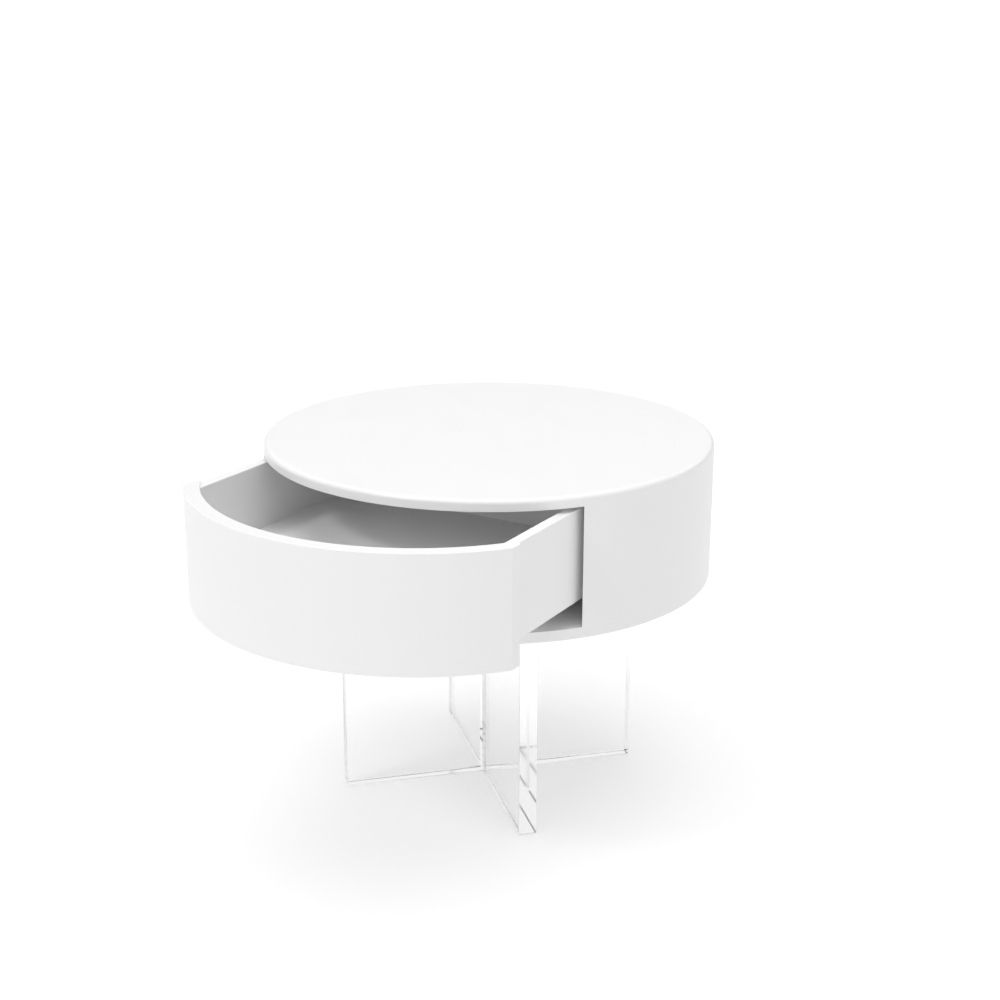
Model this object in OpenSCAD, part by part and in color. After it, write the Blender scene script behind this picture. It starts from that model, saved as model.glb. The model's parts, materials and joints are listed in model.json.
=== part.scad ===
// Round nightstand: a lacquered drum with one curved drawer, standing on two crossed clear panels.
// Origin: drum axis at the floor. +Z is up and the drawer opens towards -Y. Left is -X.
// Drawer pieces are drawn closed and then slid out by the amount that they show at rest.

/* [Drum] */
// Diameter of the drum
drum_d = 500; // [480:1:560]
// Height of the drum from its underside to its top face
drum_h = 152; // [145:1:200]
// Thickness of the top panel
top_t = 12; // [10:0.5:16]
// Thickness of the bottom panel
bottom_t = 12; // [10:0.5:16]
// Thickness of the curved side shell
shell_t = 16; // [14:0.5:18]
// Radius that rounds the upper edge of the top panel
top_round = 5; // [2:0.5:8]
// Radius that rounds the lower edge of the bottom panel
bottom_round = 1; // [0.5:0.5:3]
// Chamfer under the lip of the top panel, over the drawer opening
lip_chamfer = 1.5; // [0.5:0.5:3]
// Flat that blunts the sharp upright edges of the opening
edge_flat = 1.4; // [0.6:0.2:2.4]
// Thickness of the partition on each side of the drawer bay
partition_t = 12; // [10:0.5:14]
// Width of the drum's closed cheek on each side of the drawer opening
cheek_w = 51.5; // [45:0.5:60]

/* [Drawer] */
// How far the drawer is pulled out at rest
drawer_out = 135; // [40:1:200]
// Gap above and below the drawer front
front_gap_z = 3; // [2:0.5:5]
// Gap at each end of the drawer front
front_gap_x = 2; // [1.5:0.5:4]
// Thickness of the curved drawer front
front_t = 17; // [15:0.5:20]
// Chamfer on the edges of the drawer front
front_chamfer = 1.2; // [0.4:0.2:2.4]
// How far each end of the front runs straight back before its inner corner is cut off
front_end_l = 14; // [10:0.5:20]
// Distance from the end of the front to the outer face of the drawer side
side_inset = 5.5; // [4:0.5:10]
// Thickness of the drawer sides
side_t = 12.5; // [11:0.5:14]
// How much lower the sides and the back are than the front
side_drop = 2; // [0:0.5:6]
// Radius on the upper edges of the sides and the back
side_round = 1; // [0.5:0.5:2]
// Thickness of the drawer back
back_t = 12.5; // [11:0.5:14]
// Thickness of the drawer bottom
floor_t = 9; // [8:0.5:12]
// Depth of the groove that holds the drawer bottom
groove_d = 6; // [4:0.5:7]
// Height of the sides below the underside of the drawer bottom
side_skirt = 17; // [14:0.5:18]
// Free space behind the drawer's rear corners when it is closed
rear_space = 14; // [8:0.5:30]

/* [Base] */
// Height of the clear panels, from the floor to the drum
base_h = 258; // [150:1:400]
// Length of each clear panel
base_l = 342; // [300:1:400]
// Thickness of the clear panels
base_t = 20; // [18:1:25]
// Turn of the cross about the upright axis, in degrees
base_turn = 45; // [40:1:50]
// Distance from the axis to the inner base screws
base_screw_inner = 60; // [45:1:75]
// Free space between the outer washers and the battens in the bay
washer_gap = 6; // [4:0.5:10]

/* [Runners] */
// Length of the telescopic rails
rail_l = 250; // [230:10:260]
// Height of the cabinet rail
rail_h = 35; // [32:1:38]
// Overall width of a closed runner
runner_w = 12.7; // [12.7:0.1:14]
// Sheet thickness of the rails
rail_t = 1.2; // [1:0.1:1.3]
// Distance from the drawer side's inner face to the batten under the drawer
batten_inset = 28.8; // [20:0.1:34]
// Thickness of the battens that carry the cabinet rails
bay_batten_t = 18; // [16:1:20]
// Thickness of the battens under the drawer
drawer_batten_t = 12; // [12:0.5:14]
// Free height over and under the battens
batten_gap = 3; // [2:0.5:4]
// Height of a batten beyond the rail, above and below
batten_margin = 2; // [1:0.5:3]
// Diameter of the balls
ball_d = 3; // [2.6:0.1:3]
// Distance between two balls in a cage
ball_pitch = 15; // [10:1:20]
// Thickness of the ball cages
cage_t = 0.8; // [0.6:0.1:1]

/* [Push latch] */
// Width of the latch body
latch_w = 18; // [16:1:24]
// Height of the latch body
latch_h = 18; // [16:1:20]
// Length of the latch body
latch_l = 60; // [56:1:66]
// Diameter of the plunger
plunger_d = 8; // [6:0.5:10]
// Length of the plunger
plunger_l = 30; // [26:1:34]
// How far the plunger can be pressed in to release it
press_in = 3; // [2:0.5:5]

/* [Fixings] */
// Diameter of the dowels in the drum
dowel_d = 8; // [6:1:8]
// Length of the dowels in the drum
dowel_l = 30; // [25:1:35]
// Depth of these dowels in the top panel
dowel_in_top = 8; // [6:0.5:8]
// Diameter of the dowels in the drawer
small_dowel_d = 6; // [5:0.5:6]
// Length of the dowels in the drawer
small_dowel_l = 25; // [20:1:30]
// Number of dowels, and of screws, round the shell
shell_fixings = 7; // [5:1:9]
// Shank diameter of the wood screws
screw_d = 4; // [3:0.5:4]
// Length of the wood screws in the underside
screw_l = 40; // [35:1:45]
// Thread diameter of the base screws
base_screw_d = 6; // [5:1:6]
// Length of the base screws under the head
base_screw_l = 30; // [26:1:32]
// Outer diameter of the threaded inserts
insert_d = 9; // [8:0.5:11]
// Length of the threaded inserts
insert_l = 20; // [18:1:24]
// Diameter of the washers under the base screws
washer_d = 18; // [14:1:20]
// Thickness of these washers
washer_t = 1.6; // [1:0.1:2]

/* [Hidden] */

// Facets of large and of small round shapes
big_fn = 240;
small_fn = 40;
$fn = small_fn;
// Clearances: a glued or screwed fit, a running fit, a halving joint, and a cut that runs past a face
fit = 0.05;
run_fit = 0.1;
slot_fit = 0.1;
past = 1;

// Levels and radii of the drum
bay_floor_z = base_h + bottom_t;
drum_top_z = base_h + drum_h;
bay_top_z = drum_top_z - top_t;
bay_h = bay_top_z - bay_floor_z;
drum_r = drum_d / 2;
shell_in_r = drum_r - shell_t;
opening_x = drum_r - cheek_w;
opening_y = sqrt(drum_r * drum_r - opening_x * opening_x);
opening_angle = asin(opening_x / drum_r);
partition_out_x = opening_x + partition_t;
partition_y = sqrt(shell_in_r * shell_in_r - partition_out_x * partition_out_x) - run_fit;

// Places of the fixings round the shell, as angles from the front
fixing_margin = 12;
fixing_span = 360 - 2 * (opening_angle + fixing_margin);
shell_angles = [for (i = [0 : shell_fixings - 1])
    opening_angle + fixing_margin + i * fixing_span / (shell_fixings - 1)];
shell_mid_r = drum_r - shell_t / 2;
// The same for the partitions, as distances from their ends
partition_fix_end = 22;
partition_fix_y = partition_y - partition_fix_end;
partition_mid_x = opening_x + partition_t / 2;

// Drawer, closed
front_in_r = drum_r - front_t;
front_x = opening_x - front_gap_x;
front_bottom_z = bay_floor_z + front_gap_z;
front_top_z = bay_top_z - front_gap_z;
side_x = front_x - side_inset;
side_in_x = side_x - side_t;
side_mid_x = side_x - side_t / 2;
side_top_z = front_top_z - side_drop;
runner_x = side_in_x - batten_inset - drawer_batten_t - runner_w;
batten_h = rail_h + 2 * batten_margin;
floor_under_z = bay_floor_z + batten_h + batten_gap;
floor_top_z = floor_under_z + floor_t;
side_bottom_z = floor_under_z - side_skirt;
back_out_y = sqrt(shell_in_r * shell_in_r - side_x * side_x) - rear_space;
back_in_y = back_out_y - back_t;
groove_x = side_in_x + groove_d;
groove_r = front_in_r + groove_d;

// Drawer joints
small_dowel_edge = 17;
upper_dowel_z = side_top_z - small_dowel_edge;
lower_dowel_z = floor_top_z + small_dowel_edge;
skirt_dowel_z = side_bottom_z + side_skirt / 2;
front_joint_y = -sqrt(front_in_r * front_in_r - side_mid_x * side_mid_x);
dowel_in_front = 10;
dowel_in_side = 8;
back_screw_l = 35;
back_screw_x = 90;

// Runners: u runs across a runner from the bay batten to the drawer batten, v is its height
runner_z = bay_floor_z + batten_margin + rail_h / 2 + batten_gap / 2;
rail_back_y = back_out_y - 1;
rail_front_y = rail_back_y - rail_l;
rail_mid_y = rail_back_y - rail_l / 2;
ball_r = ball_d / 2;
rail_head_t = 1.5;
rail_head_r = 3.5;
rail_screw_l = 12;
rail_screw_r = 1.75;
rail_screw_end = 20;
outer_v = rail_h / 2;
outer_ball_v = outer_v - rail_t - fit - ball_r;
middle_v = outer_ball_v - ball_r - fit;
inner_ball_v = middle_v - rail_t - fit - ball_r;
inner_v = inner_ball_v - ball_r - fit;
middle_u = rail_t + rail_head_t + 0.5;
flange_end_u = runner_w - rail_t - 2;
inner_u = runner_w - rail_t;
inner_flange_u = middle_u + rail_t + 1.4;
outer_ball_u = 6;
inner_ball_u = 7.8;
lip_h = 1;
cage_w = 4;
cage_margin = 5;
cage_l = rail_l / 2 - cage_margin;
cage_balls = floor(cage_l / ball_pitch);
runner_out_x = runner_x + runner_w;

// Battens and their screws
bay_batten_x = runner_x - bay_batten_t;
drawer_batten_bottom_z = floor_under_z - batten_h;
bay_batten_screw_y = 60;
drawer_batten_screw_y = 90;
drawer_batten_screw_l = batten_h + 6;
small_screw_r = 1.75;
countersink_r_extra = 2;
countersink_h = 2.4;

// Base
slot_w = base_t + 2 * slot_fit;
slot_z = base_h / 2;
base_screw_outer = (bay_batten_x - washer_d / 2 - washer_gap) / max(cos(base_turn), sin(base_turn));
base_screw_at = [base_screw_inner, base_screw_outer];
base_screw_r = base_screw_d / 2;
base_head_r = 5.25;
base_head_h = 3.3;
hex_r = 2.3;
hex_depth = 2;
insert_room = 2;
base_head_z = bay_floor_z + washer_t;

// Latch: the tip of its plunger stands just behind the closed drawer's back
tip_gap = 0.3;
tip_y = back_out_y + tip_gap;
tip_l = 3;
tip_r = plunger_d / 2 + 1;
plunger_y = tip_y + tip_l;
latch_y = plunger_y + press_in + 1;
latch_z = bay_top_z - latch_h / 2;
bore_l = 50;
bore_end_y = latch_y + bore_l;
spring_seat = 0.3;
spring_y = plunger_y + plunger_l + spring_seat;
spring_wire_r = 0.45;
spring_r = plunger_d / 2 - spring_wire_r - 0.4;
spring_turns = 8;
ear_w = 9;
ear_t = 3;
ear_l = 16;
latch_screw_r = 1.5;
latch_screw_l = 12;
latch_screw_x = latch_w / 2 + ear_w / 2;
latch_screw_y = latch_y + latch_l / 2;

// Colours
white = [0.95, 0.95, 0.94];
clear = [0.86, 0.92, 0.94, 0.4];
steel = [0.72, 0.73, 0.75];
bright = [0.85, 0.86, 0.88];
beech = [0.82, 0.68, 0.48];
brass = [0.80, 0.66, 0.32];
grey = [0.55, 0.56, 0.58];
dark = [0.16, 0.16, 0.17];

// A rectangle with its corners cut off, from its lowest corner
module chamfered_rect(w, h, c) {
    polygon([[c, 0], [w - c, 0], [w, c], [w, h - c], [w - c, h], [c, h], [0, h - c], [0, c]]);
}

// A board with rounded upper edges that runs along Y
module board_along_y(x0, x1, y0, y1, z0, z1, r) {
    translate([x0, y1, z0]) {
        rotate([90, 0, 0]) {
            linear_extrude(height = y1 - y0) {
                square([x1 - x0, z1 - z0 - r]);
                translate([r, 0]) square([x1 - x0 - 2 * r, z1 - z0]);
                for (x = [r, x1 - x0 - r]) {
                    translate([x, z1 - z0 - r]) circle(r = r);
                }
            }
        }
    }
}

// A plain block from its lowest to its highest corner
module block(low, high) {
    translate(low) cube(high - low);
}

// The right-hand piece and its mirror image on the left
module both_sides() {
    children();
    mirror([1, 0, 0]) children();
}

// A piece that moves a share of the drawer's travel, at its rest place
module slid(share) {
    translate([0, -share * drawer_out, 0]) children();
}

// A wood screw with a countersunk head: its head is flush at the origin and its tip points up
module wood_screw(r, l, grow = 0) {
    cylinder(r = r + grow, h = l + grow);
    cylinder(r1 = r + countersink_r_extra + grow, r2 = r + grow, h = countersink_h + grow);
}

// Places where the shell and the partitions are fixed to the top and the bottom panel
module at_drum_fixings(z) {
    for (a = shell_angles) {
        translate([shell_mid_r * sin(a), -shell_mid_r * cos(a), z]) children();
    }
    for (x = [-partition_mid_x, partition_mid_x]) {
        for (y = [-partition_fix_y, partition_fix_y]) {
            translate([x, y, z]) children();
        }
    }
}

// Places of the base screws over the clear panels
module at_base_screws(z) {
    for (turn = [0 : 90 : 270]) {
        rotate(turn + base_turn) {
            for (d = base_screw_at) {
                translate([d, 0, z]) children();
            }
        }
    }
}

// Places of the screws between the bottom panel and the bay battens
module at_bay_batten_screws(z) {
    for (x = [-1, 1]) {
        for (y = [-bay_batten_screw_y, bay_batten_screw_y]) {
            translate([x * (runner_x - bay_batten_t / 2), rail_mid_y + y, z]) children();
        }
    }
}

// Drum

module drum_dowel_shapes(grow = 0) {
    at_drum_fixings(bay_top_z + dowel_in_top - dowel_l - grow) {
        cylinder(d = dowel_d + 2 * grow, h = dowel_l + 2 * grow);
    }
}

module drum_screw_shapes(grow = 0) {
    at_drum_fixings(base_h) wood_screw(screw_d / 2, screw_l, grow);
}

module bay_batten_screw_shapes(grow = 0) {
    at_bay_batten_screws(base_h) wood_screw(screw_d / 2, screw_l, grow);
}

module top_panel() {
    color(white)
    difference() {
        rotate_extrude($fn = big_fn) {
            translate([0, bay_top_z]) square([drum_r - top_round, top_t]);
            translate([0, bay_top_z]) square([drum_r, top_t - top_round]);
            translate([drum_r - top_round, drum_top_z - top_round]) circle(r = top_round);
        }
        rotate(-90 - opening_angle) {
            rotate_extrude(angle = 2 * opening_angle, $fn = big_fn) {
                polygon([
                    [drum_r - lip_chamfer, bay_top_z - past],
                    [drum_r - lip_chamfer, bay_top_z],
                    [drum_r, bay_top_z + lip_chamfer],
                    [drum_r + past, bay_top_z + lip_chamfer],
                    [drum_r + past, bay_top_z - past]
                ]);
            }
        }
        drum_dowel_shapes(fit);
        latch_screw_shapes(fit);
    }
}

module bottom_panel() {
    color(white)
    difference() {
        rotate_extrude($fn = big_fn) {
            translate([0, base_h]) square([drum_r - bottom_round, bottom_t]);
            translate([0, base_h + bottom_round]) square([drum_r, bottom_t - bottom_round]);
            translate([drum_r - bottom_round, base_h + bottom_round]) circle(r = bottom_round);
        }
        drum_screw_shapes(fit);
        bay_batten_screw_shapes(fit);
        at_base_screws(base_h - past) cylinder(r = base_screw_r + run_fit, h = bottom_t + 2 * past);
    }
}

// The cut that blunts the sharp upright edge of the opening on the right
module opening_edge_cut() {
    cut_depth = edge_flat / (2 * tan((90 - opening_angle) / 2));
    translate([opening_x, -opening_y, bay_floor_z - past]) {
        rotate((90 - opening_angle) / -2) {
            translate([-shell_t, cut_depth - 2 * shell_t, 0]) cube([2 * shell_t, 2 * shell_t, bay_h + 2 * past]);
        }
    }
}

module side_shell() {
    color(white)
    difference() {
        translate([0, 0, bay_floor_z]) cylinder(r = drum_r, h = bay_h, $fn = big_fn);
        translate([0, 0, bay_floor_z - past]) cylinder(r = shell_in_r, h = bay_h + 2 * past, $fn = big_fn);
        block([-opening_x, -drum_r - past, bay_floor_z - past], [opening_x, 0, bay_top_z + past]);
        both_sides() opening_edge_cut();
        drum_dowel_shapes(fit);
        drum_screw_shapes(fit);
    }
}

module partition(side) {
    x0 = side > 0 ? opening_x : -partition_out_x;
    color(white)
    difference() {
        block([x0, -partition_y, bay_floor_z], [x0 + partition_t, partition_y, bay_top_z]);
        drum_dowel_shapes(fit);
        drum_screw_shapes(fit);
    }
}

module partition_left() { partition(-1); }
module partition_right() { partition(1); }

module top_dowels() { color(beech) drum_dowel_shapes(); }
module bottom_screws() { color(steel) drum_screw_shapes(); }

// Base

module clear_panel(turn, slot_from_z) {
    color(clear)
    difference() {
        rotate(turn) block([-base_l / 2, -base_t / 2, 0], [base_l / 2, base_t / 2, base_h]);
        rotate(turn) {
            block([-slot_w / 2, -base_t, slot_from_z], [slot_w / 2, base_t, slot_from_z + slot_z + past]);
        }
        insert_shapes(fit, insert_room);
    }
}

module insert_shapes(grow = 0, deeper = 0) {
    at_base_screws(base_h - insert_l - deeper) {
        cylinder(d = insert_d + 2 * grow, h = insert_l + deeper + (deeper > 0 ? past : 0));
    }
}

module acrylic_panel_slot_up() { clear_panel(base_turn, slot_z - slot_fit); }
module acrylic_panel_slot_down() { clear_panel(base_turn + 90, -past); }

module base_inserts() {
    color(brass)
    difference() {
        insert_shapes();
        at_base_screws(base_h - insert_l - past) cylinder(r = base_screw_r + fit, h = insert_l + 2 * past);
    }
}

module base_screws() {
    color(steel)
    difference() {
        union() {
            at_base_screws(base_head_z - base_screw_l) cylinder(r = base_screw_r, h = base_screw_l);
            at_base_screws(base_head_z) cylinder(r = base_head_r, h = base_head_h);
        }
        at_base_screws(base_head_z + base_head_h - hex_depth) cylinder(r = hex_r, h = hex_depth + past, $fn = 6);
    }
}

module base_washers() {
    color(steel)
    difference() {
        at_base_screws(bay_floor_z) cylinder(d = washer_d, h = washer_t);
        at_base_screws(bay_floor_z - past) cylinder(r = base_screw_r + run_fit, h = washer_t + 2 * past);
    }
}

// Drawer

module front_dowel_shapes(grow = 0) {
    for (x = [-side_mid_x, side_mid_x]) {
        for (z = [skirt_dowel_z, lower_dowel_z, upper_dowel_z]) {
            translate([x, front_joint_y - dowel_in_front - grow, z]) {
                rotate([-90, 0, 0]) cylinder(d = small_dowel_d + 2 * grow, h = small_dowel_l + 2 * grow);
            }
        }
    }
}

module back_dowel_shapes(grow = 0) {
    for (side = [-1, 1]) {
        for (z = [lower_dowel_z, upper_dowel_z]) {
            translate([side * (side_in_x + dowel_in_side + grow), back_out_y - back_t / 2, z]) {
                rotate([0, -90 * side, 0]) {
                    cylinder(d = small_dowel_d + 2 * grow, h = small_dowel_l + 2 * grow);
                }
            }
        }
    }
}

module drawer_bottom_screw_shapes(grow = 0) {
    for (x = [-back_screw_x, 0, back_screw_x]) {
        translate([x, back_out_y - back_t / 2, floor_under_z]) {
            wood_screw(small_screw_r, back_screw_l, grow);
        }
    }
}

// The outline of the drawer bottom, with its tongues in the grooves
module floor_outline(grow = 0) {
    intersection() {
        circle(r = groove_r + grow, $fn = big_fn);
        translate([-groove_x - grow, -drum_r]) square([2 * (groove_x + grow), drum_r + back_out_y]);
    }
}

module floor_groove() {
    translate([0, 0, floor_under_z - fit]) linear_extrude(height = floor_t + 2 * fit) floor_outline(fit);
}

// The plan of the corner that is cut off behind the right end of the front, out to the side board
module front_end_cut() {
    straight_to_y = -sqrt(drum_r * drum_r - front_x * front_x) + front_end_l;
    meets_side_y = -sqrt(front_in_r * front_in_r - side_x * side_x);
    polygon([
        [front_x, straight_to_y], [front_x + past, straight_to_y], [front_x + past, 0],
        [side_x, 0], [side_x, meets_side_y]
    ]);
}

module drawer_front() {
    color(white)
    slid(1) {
        difference() {
            intersection() {
                rotate_extrude($fn = big_fn) {
                    translate([front_in_r, front_bottom_z]) {
                        chamfered_rect(front_t, front_top_z - front_bottom_z, front_chamfer);
                    }
                }
                block([-front_x, -drum_r - past, front_bottom_z - past], [front_x, 0, front_top_z + past]);
            }
            translate([0, 0, front_bottom_z - past]) linear_extrude(height = drum_h) {
                front_end_cut();
                mirror([1, 0, 0]) front_end_cut();
            }
            floor_groove();
            front_dowel_shapes(fit);
        }
    }
}

module drawer_side(side) {
    x0 = side > 0 ? side_in_x : -side_x;
    color(white)
    slid(1) {
        difference() {
            intersection() {
                board_along_y(x0, x0 + side_t, -drum_r, back_out_y, side_bottom_z, side_top_z, side_round);
                translate([0, 0, side_bottom_z - past]) {
                    cylinder(r = front_in_r - fit, h = drum_h, $fn = big_fn);
                }
            }
            floor_groove();
            front_dowel_shapes(fit);
            back_dowel_shapes(fit);
        }
    }
}

module drawer_side_left() { drawer_side(-1); }
module drawer_side_right() { drawer_side(1); }

module drawer_back() {
    color(white)
    slid(1) {
        difference() {
            rotate(-90) {
                board_along_y(-back_out_y, -back_in_y, -side_in_x, side_in_x, floor_top_z, side_top_z, side_round);
            }
            back_dowel_shapes(fit);
            drawer_bottom_screw_shapes(fit);
        }
    }
}

module drawer_bottom() {
    color(white)
    slid(1) {
        difference() {
            translate([0, 0, floor_under_z]) linear_extrude(height = floor_t) floor_outline();
            drawer_bottom_screw_shapes(fit);
            drawer_batten_screw_shapes(fit);
        }
    }
}

module drawer_front_dowels() { color(beech) slid(1) front_dowel_shapes(); }
module drawer_back_dowels() { color(beech) slid(1) back_dowel_shapes(); }
module drawer_bottom_screws() { color(steel) slid(1) drawer_bottom_screw_shapes(); }

// Battens

module bay_batten(side) {
    x0 = side > 0 ? bay_batten_x : -runner_x;
    color(white)
    difference() {
        block([x0, rail_front_y, bay_floor_z], [x0 + bay_batten_t, rail_back_y, bay_floor_z + batten_h]);
        bay_batten_screw_shapes(fit);
        cabinet_rail_screw_shapes(fit);
    }
}

module bay_batten_left() { bay_batten(-1); }
module bay_batten_right() { bay_batten(1); }
module bay_batten_screws() { color(steel) bay_batten_screw_shapes(); }

module drawer_batten_screw_shapes(grow = 0) {
    for (x = [-1, 1]) {
        for (y = [-drawer_batten_screw_y, drawer_batten_screw_y]) {
            translate([x * (runner_out_x + drawer_batten_t / 2), rail_mid_y + y, drawer_batten_bottom_z]) {
                wood_screw(small_screw_r, drawer_batten_screw_l, grow);
            }
        }
    }
}

module drawer_batten(side) {
    x0 = side > 0 ? runner_out_x : -runner_out_x - drawer_batten_t;
    color(white)
    slid(1) {
        difference() {
            block([x0, rail_front_y, drawer_batten_bottom_z], [x0 + drawer_batten_t, rail_back_y, floor_under_z]);
            drawer_batten_screw_shapes(fit);
            drawer_rail_screw_shapes(fit);
        }
    }
}

module drawer_batten_left() { drawer_batten(-1); }
module drawer_batten_right() { drawer_batten(1); }
module drawer_batten_screws() { color(steel) slid(1) drawer_batten_screw_shapes(); }

// Runners

// A channel rail on the right: its web stands at web_u and its flanges end at tip_u
module channel(web_u, tip_u, v, with_lips = false) {
    low_u = min(web_u, tip_u);
    high_u = max(web_u + rail_t, tip_u);
    translate([runner_x, rail_front_y, runner_z]) {
        block([web_u, 0, -v], [web_u + rail_t, rail_l, v]);
        for (s = [0, 1]) {
            mirror([0, 0, s]) {
                block([low_u, 0, v - rail_t], [high_u, rail_l, v]);
                if (with_lips) {
                    block([high_u - rail_t, 0, v - rail_t - lip_h], [high_u, rail_l, v]);
                }
            }
        }
    }
}

// A rail screw on the right, with its flat head against the web and its tip away from it
module rail_screws_right(face_u, towards, grow = 0) {
    for (y = [rail_front_y + rail_screw_end, rail_back_y - rail_screw_end]) {
        translate([runner_x + face_u, y, runner_z]) {
            rotate([0, 90 * towards, 0]) cylinder(r = rail_screw_r + grow, h = rail_screw_l + grow);
            rotate([0, -90 * towards, 0]) cylinder(r = rail_head_r + grow, h = rail_head_t);
        }
    }
}

module cabinet_rail_screw_shapes(grow = 0) {
    both_sides() rail_screws_right(rail_t, -1, grow);
}

module drawer_rail_screw_shapes(grow = 0) {
    both_sides() rail_screws_right(inner_u, 1, grow);
}

module cabinet_rail_right() {
    color(steel)
    difference() {
        channel(0, flange_end_u, outer_v, true);
        cabinet_rail_screw_shapes(fit);
    }
}

module middle_rail_right() {
    color(steel) slid(0.5) channel(middle_u, flange_end_u, middle_v);
}

module drawer_rail_right() {
    color(steel)
    slid(1) {
        difference() {
            channel(inner_u, inner_flange_u, inner_v);
            drawer_rail_screw_shapes(fit);
        }
    }
}

module cabinet_rail_left() { mirror([1, 0, 0]) cabinet_rail_right(); }
module middle_rail_left() { mirror([1, 0, 0]) middle_rail_right(); }
module drawer_rail_left() { mirror([1, 0, 0]) drawer_rail_right(); }

module cabinet_rail_screws() { color(steel) cabinet_rail_screw_shapes(); }
module drawer_rail_screws() { color(steel) slid(1) drawer_rail_screw_shapes(); }

// The balls of one cage on the right, in an upper and a lower row
module ball_rows(u, v, grow = 0) {
    first_y = rail_mid_y - (cage_balls - 1) * ball_pitch / 2;
    for (s = [-1, 1]) {
        for (i = [0 : cage_balls - 1]) {
            translate([runner_x + u, first_y + i * ball_pitch, runner_z + s * v]) sphere(r = ball_r + grow);
        }
    }
}

// The two strips of one cage on the right, with a hole for each ball
module cage_strips(u, v) {
    difference() {
        for (s = [-1, 1]) {
            translate([runner_x + u - cage_w / 2, rail_mid_y - cage_l / 2, runner_z + s * v - cage_t / 2]) {
                cube([cage_w, cage_l, cage_t]);
            }
        }
        ball_rows(u, v, fit);
    }
}

module outer_cage_right() { color(brass) slid(0.25) cage_strips(outer_ball_u, outer_ball_v); }
module inner_cage_right() { color(brass) slid(0.75) cage_strips(inner_ball_u, inner_ball_v); }
module outer_balls_right() { color(bright) slid(0.25) ball_rows(outer_ball_u, outer_ball_v); }
module inner_balls_right() { color(bright) slid(0.75) ball_rows(inner_ball_u, inner_ball_v); }

module outer_cage_left() { mirror([1, 0, 0]) outer_cage_right(); }
module inner_cage_left() { mirror([1, 0, 0]) inner_cage_right(); }
module outer_balls_left() { mirror([1, 0, 0]) outer_balls_right(); }
module inner_balls_left() { mirror([1, 0, 0]) inner_balls_right(); }

// Push latch

module latch_screw_shapes(grow = 0) {
    for (x = [-latch_screw_x, latch_screw_x]) {
        translate([x, latch_screw_y, bay_top_z - ear_t]) {
            wood_screw(latch_screw_r, latch_screw_l, grow);
        }
    }
}

// A round bar along Y at the height of the plunger
module latch_bar(r, y0, y1) {
    translate([0, y1, latch_z]) rotate([90, 0, 0]) cylinder(r = r, h = y1 - y0);
}

module latch_body() {
    color(grey)
    difference() {
        union() {
            block([-latch_w / 2, latch_y, bay_top_z - latch_h], [latch_w / 2, latch_y + latch_l, bay_top_z]);
            block([-latch_w / 2 - ear_w, latch_screw_y - ear_l / 2, bay_top_z - ear_t],
                [latch_w / 2 + ear_w, latch_screw_y + ear_l / 2, bay_top_z]);
        }
        latch_bar(plunger_d / 2 + run_fit, latch_y - past, bore_end_y);
        latch_screw_shapes(fit);
    }
}

module latch_plunger() { color(white) latch_bar(plunger_d / 2, plunger_y, plunger_y + plunger_l); }
module latch_tip() { color(dark) latch_bar(tip_r, tip_y, plunger_y); }
module latch_screws() { color(steel) latch_screw_shapes(); }

// The coil spring between the plunger and the end of the bore, as one swept hexagonal wire
module latch_spring() {
    free_l = bore_end_y - spring_seat - spring_y - 2 * spring_wire_r;
    steps = spring_turns * 12;
    rings = [for (i = [0 : steps]) [for (k = [0 : 5])
        let (a = i * 360 / 12, b = k * 60, rr = spring_r + spring_wire_r * cos(b))
        [rr * cos(a), rr * sin(a), free_l * i / steps + spring_wire_r * sin(b)]]];
    points = [for (ring = rings) for (p = ring) p];
    last = steps * 6;
    sides = [for (i = [0 : steps - 1]) for (k = [0 : 5])
        let (a = i * 6 + k, b = i * 6 + (k + 1) % 6) each [[a, a + 6, b], [b, a + 6, b + 6]]];
    caps = [for (k = [1 : 4]) each [[0, k, k + 1], [last, last + k + 1, last + k]]];
    color(steel) {
        translate([0, spring_y + spring_wire_r, latch_z]) {
            rotate([-90, 0, 0]) polyhedron(points = points, faces = concat(sides, caps));
        }
    }
}

top_panel();
bottom_panel();
side_shell();
partition_left();
partition_right();
top_dowels();
bottom_screws();
acrylic_panel_slot_up();
acrylic_panel_slot_down();
base_inserts();
base_screws();
base_washers();
drawer_front();
drawer_side_left();
drawer_side_right();
drawer_back();
drawer_bottom();
drawer_front_dowels();
drawer_back_dowels();
drawer_bottom_screws();
bay_batten_left();
bay_batten_right();
bay_batten_screws();
drawer_batten_left();
drawer_batten_right();
drawer_batten_screws();
cabinet_rail_left();
cabinet_rail_right();
middle_rail_left();
middle_rail_right();
drawer_rail_left();
drawer_rail_right();
cabinet_rail_screws();
drawer_rail_screws();
outer_cage_left();
outer_cage_right();
inner_cage_left();
inner_cage_right();
outer_balls_left();
outer_balls_right();
inner_balls_left();
inner_balls_right();
latch_body();
latch_plunger();
latch_tip();
latch_spring();
latch_screws();
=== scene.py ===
# %% [markdown]
# This file dresses a measured model of a round bedside table. The real one is a drum of white
# lacquered board with one curved drawer, and it stands on two clear acrylic panels that cross.
# The measured model gives every size and place, so nothing here is fitted by eye. Each visible
# board is made again with the fine rounded edges that a lacquered board has, because those
# edges are what catches the light, and every surface gets its own finish.

# %% Load the measured model
import json
import math
import bmesh
import bpy
from mathutils import Matrix, Vector


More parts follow.
